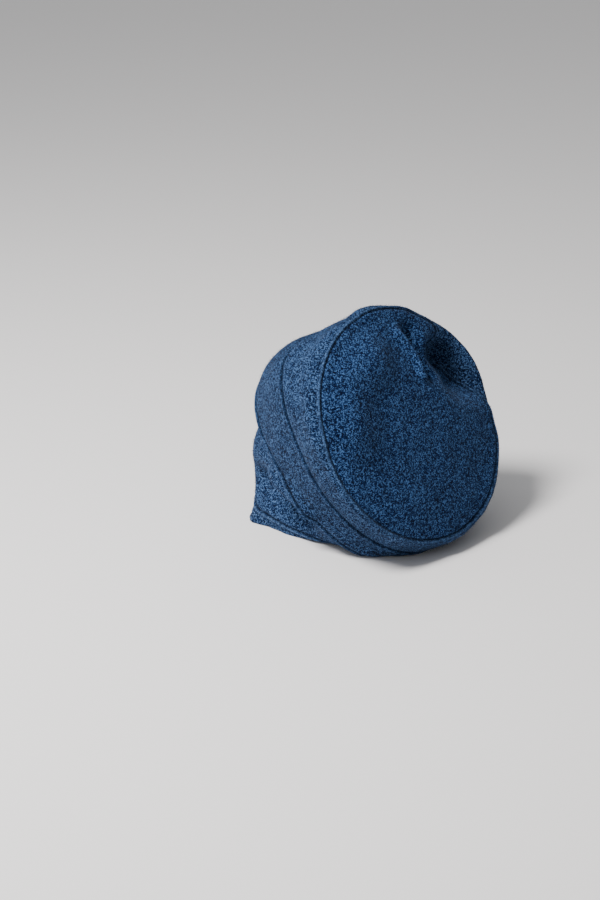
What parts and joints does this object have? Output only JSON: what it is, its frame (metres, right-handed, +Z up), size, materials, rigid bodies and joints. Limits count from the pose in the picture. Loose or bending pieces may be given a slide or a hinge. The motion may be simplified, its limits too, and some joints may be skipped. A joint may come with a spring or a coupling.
{
  "type": "soft cap",
  "caption": "Soft boiled wool cap of bands and a round crown, slumped forward and standing on its open hem.",
  "frame": {"origin": "bottom centre of the cap's box, on the surface that the cap stands on", "axes": "+Z up, the crown leans and faces towards -Y, +X across the cap, to the right as seen from the crown's front"},
  "size_m": [0.241, 0.2242, 0.2203],
  "materials": {
    "wool_crown_panel": "boiled wool, dull and fuzzy",
    "wool_upper_band": "boiled wool, dull and fuzzy",
    "wool_middle_band": "boiled wool, dull and fuzzy",
    "wool_lower_band": "boiled wool, dull and fuzzy",
    "wool_hem_band": "boiled wool, dull and fuzzy"
  },
  "bodies": {
    "root": {"crown_panel": "wool_crown_panel", "upper_band": "wool_upper_band", "middle_band": "wool_middle_band", "lower_band": "wool_lower_band", "hem_band": "wool_hem_band"}
  },
  "joints": []
}
